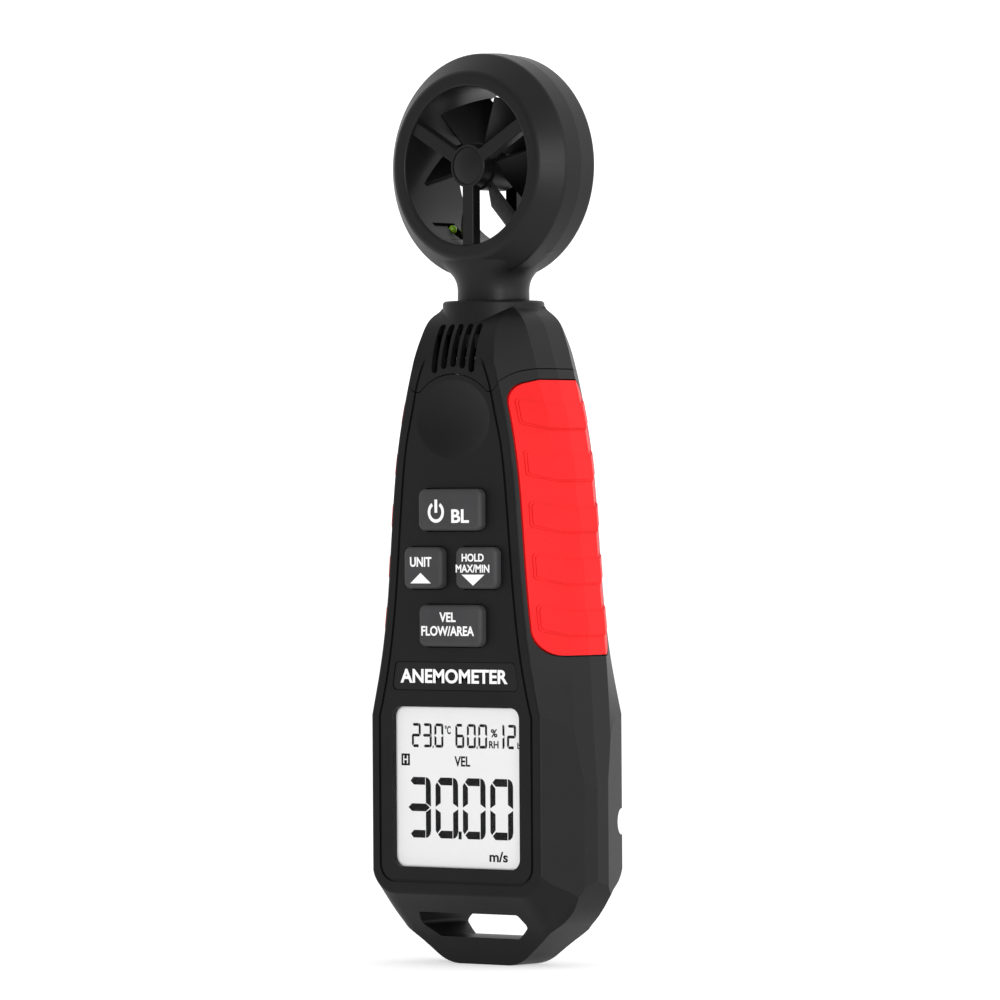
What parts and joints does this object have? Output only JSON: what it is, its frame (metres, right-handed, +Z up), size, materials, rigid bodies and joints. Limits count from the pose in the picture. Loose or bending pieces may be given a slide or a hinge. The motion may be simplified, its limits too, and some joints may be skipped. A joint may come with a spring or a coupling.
{
  "type": "vane anemometer",
  "caption": "Handheld wind speed meter: small ducted vane on a fixed neck above a tapered case with display, keys, side grips and a lanyard slot.",
  "frame": {"origin": "bottom centre of the upright meter, on the plane where the two half casings meet", "axes": "+Z up along the length towards the vane, the display faces -Y and air flows through the duct along Y, +X is the right-hand side seen from the front"},
  "size_m": [0.0454, 0.0242, 0.16],
  "materials": {
    "case_plastic": "fine moulded texture",
    "head_plastic": "fine moulded texture",
    "impeller_plastic": "smooth moulded",
    "grip_rubber": "satin moulded rubber",
    "button_rubber": "matte silicone keys",
    "clear_window": "clear polished",
    "display_face": "light grey display",
    "diffuser": "milky",
    "silicone": "matte",
    "board_laminate": "solder mask",
    "sensor_lens": "clear tinted dome",
    "chip_plastic": "moulded",
    "socket_plastic": "moulded",
    "lead_sleeve": "smooth sleeve",
    "contact_metal": "nickel plated spring steel",
    "steel": "zinc plated",
    "bearing_brass": "turned",
    "label_film": "printed film",
    "battery_jacket": "plain shrink sleeve"
  },
  "bodies": {
    "root": {"front_cover": "case_plastic", "back_cover": "case_plastic", "top_cap": "case_plastic", "grip_right": "grip_rubber", "grip_left": "grip_rubber", "head_front": "head_plastic", "head_rear": "head_plastic", "front_hub_cap": "head_plastic", "rear_hub_cap": "head_plastic", "front_bearing": "bearing_brass", "rear_bearing": "bearing_brass", "sensor_board": "head_plastic", "speed_sensor": "sensor_lens", "sensor_lead": "lead_sleeve", "lcd_window": "clear_window", "lcd_glass": "display_face", "lcd_backlight": "diffuser", "zebra_strips": "silicone", "main_board": "board_laminate", "keypad_mat": "silicone", "tact_switches": "chip_plastic", "board_chips": "chip_plastic", "lead_socket": "socket_plastic", "humidity_sensor": "socket_plastic", "contact_plates": "contact_metal", "contact_springs": "contact_metal", "case_screws": "steel", "board_screws": "steel", "name_plate": "label_film", "battery_1": "battery_jacket", "battery_2": "battery_jacket", "battery_3": "battery_jacket"},
    "impeller": {"impeller": "impeller_plastic", "impeller_shaft": "steel"},
    "power_button": {"power_button": "button_rubber"},
    "unit_button": {"unit_button": "button_rubber"},
    "hold_button": {"hold_button": "button_rubber"},
    "mode_button": {"mode_button": "button_rubber"},
    "battery_door": {"battery_door": "case_plastic"}
  },
  "joints": [
    {"name": "impeller_spin", "type": "hinge", "parent": "root", "child": "impeller", "pos_m": [0, 0, 0.14], "axis": [0, 1, 0], "continuous": true},
    {"name": "power_button_press", "type": "slide", "parent": "root", "child": "power_button", "axis": [0, 1, 0], "range_m": [0, 0.0008], "stiffness_N_per_m": 1200, "springref_m": -0.0002},
    {"name": "unit_button_press", "type": "slide", "parent": "root", "child": "unit_button", "axis": [0, 1, 0], "range_m": [0, 0.0008], "stiffness_N_per_m": 1200, "springref_m": -0.0002},
    {"name": "hold_button_press", "type": "slide", "parent": "root", "child": "hold_button", "axis": [0, 1, 0], "range_m": [0, 0.0008], "stiffness_N_per_m": 1200, "springref_m": -0.0002},
    {"name": "mode_button_press", "type": "slide", "parent": "root", "child": "mode_button", "axis": [0, 1, 0], "range_m": [0, 0.0008], "stiffness_N_per_m": 1200, "springref_m": -0.0002},
    {"name": "battery_door_slide", "type": "slide", "parent": "root", "child": "battery_door", "axis": [0, 0, -1], "range_m": [0, 0.052]}
  ]
}
